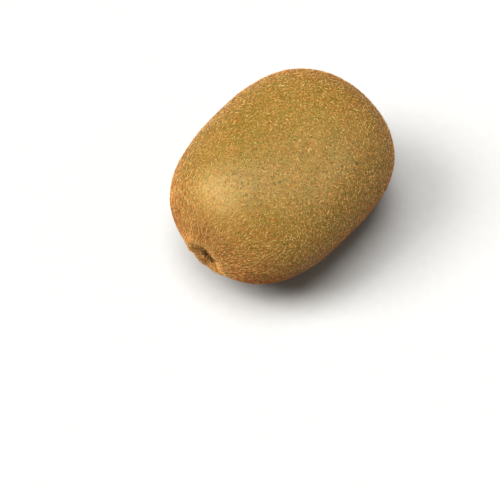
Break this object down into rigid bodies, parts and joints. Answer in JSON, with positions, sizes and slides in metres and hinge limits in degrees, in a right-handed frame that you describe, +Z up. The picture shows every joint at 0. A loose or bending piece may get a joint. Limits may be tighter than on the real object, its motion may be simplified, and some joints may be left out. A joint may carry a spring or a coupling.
{
  "type": "kiwi fruit",
  "caption": "Whole fuzzy brown kiwi fruit lying on its side, with the corky scar of its stalk at one end and dried flower styles in a puckered hollow at the other.",
  "frame": {"origin": "on the surface that the fruit rests on, under the middle of its outline box", "axes": "+X along the fruit's long axis towards its stalk end, +Z up, -X towards its flower end"},
  "size_m": [0.0696, 0.0546, 0.0479],
  "materials": {
    "skin": "dull olive-brown fruit skin under short golden-tan hairs",
    "stalk_cork": "dry grey-brown cork with raised rings",
    "withered_styles": "dry dark brown withered flower remains"
  },
  "bodies": {
    "root": {"fruit": "skin", "stalk_scar": "stalk_cork", "dried_styles": "withered_styles"}
  },
  "joints": []
}
